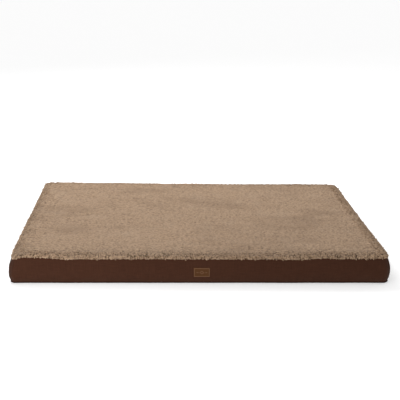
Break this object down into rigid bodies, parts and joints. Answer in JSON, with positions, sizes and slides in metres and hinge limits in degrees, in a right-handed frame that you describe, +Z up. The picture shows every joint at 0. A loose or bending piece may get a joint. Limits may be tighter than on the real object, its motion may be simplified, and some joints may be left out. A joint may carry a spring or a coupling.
{
  "type": "pet cushion bed",
  "caption": "Flat rectangular pet bed: a zip-off cover with a fleece top and bowed cloth sides, round a zipped waterproof liner and an egg-crate foam slab.",
  "frame": {"origin": "centre of the underside, on the floor", "axes": "+X along the long side, +Y towards the zip at the back, +Z up out of the fleece"},
  "size_m": [1.0498, 0.7561, 0.077],
  "materials": {
    "fleece": "curly pile, matte",
    "band_cloth": "plain weave, matte with a slight sheen",
    "base_cloth": "plain weave with rubber grip dots",
    "label_cloth": "woven patch",
    "tag_cloth": "satin tape",
    "zip_tape": "herringbone tape",
    "zip_coil": "moulded nylon coil",
    "zip_metal": "antique brass plated",
    "liner_cloth": "coated cloth, low sheen",
    "foam": "open-cell foam"
  },
  "bodies": {
    "bed": {"fleece_top": "fleece", "front_band": "band_cloth", "left_side_band": "band_cloth", "right_side_band": "band_cloth", "back_lower_strip": "band_cloth", "back_upper_strip": "band_cloth", "base_panel": "base_cloth", "front_label": "label_cloth", "care_tag": "tag_cloth", "zip_end_patches": "band_cloth", "zip_upper_tape": "zip_tape", "zip_lower_tape": "zip_tape", "zip_upper_coil": "zip_coil", "zip_lower_coil": "zip_coil", "zip_end_stops": "zip_metal", "liner_tray": "liner_cloth", "liner_lid": "liner_cloth", "liner_zip_upper_tape": "zip_tape", "liner_zip_lower_tape": "zip_tape", "liner_zip_upper_coil": "zip_coil", "liner_zip_lower_coil": "zip_coil", "liner_zip_end_stops": "zip_metal", "egg_crate_foam": "foam"},
    "cover_slider": {"zip_slider": "zip_metal"},
    "cover_pull": {"zip_pull": "zip_metal"},
    "liner_slider": {"liner_zip_slider": "zip_metal"},
    "liner_pull": {"liner_zip_pull": "zip_metal"}
  },
  "joints": [
    {"name": "cover_zip_slide", "type": "slide", "parent": "bed", "child": "cover_slider", "axis": [1, 0, 0], "range_m": [0, 0.896]},
    {"name": "cover_pull_hinge", "type": "hinge", "parent": "cover_slider", "child": "cover_pull", "pos_m": [-0.448, 0.3776, 0.0356], "axis": [0, 0, 1], "range_deg": [0, 170]},
    {"name": "liner_zip_slide", "type": "slide", "parent": "bed", "child": "liner_slider", "axis": [0, -1, 0], "range_m": [0, 0.62]},
    {"name": "liner_pull_hinge", "type": "hinge", "parent": "liner_slider", "child": "liner_pull", "pos_m": [0.5184, 0.3102, 0.0356], "axis": [0, 0, 1], "range_deg": [0, 10]}
  ]
}
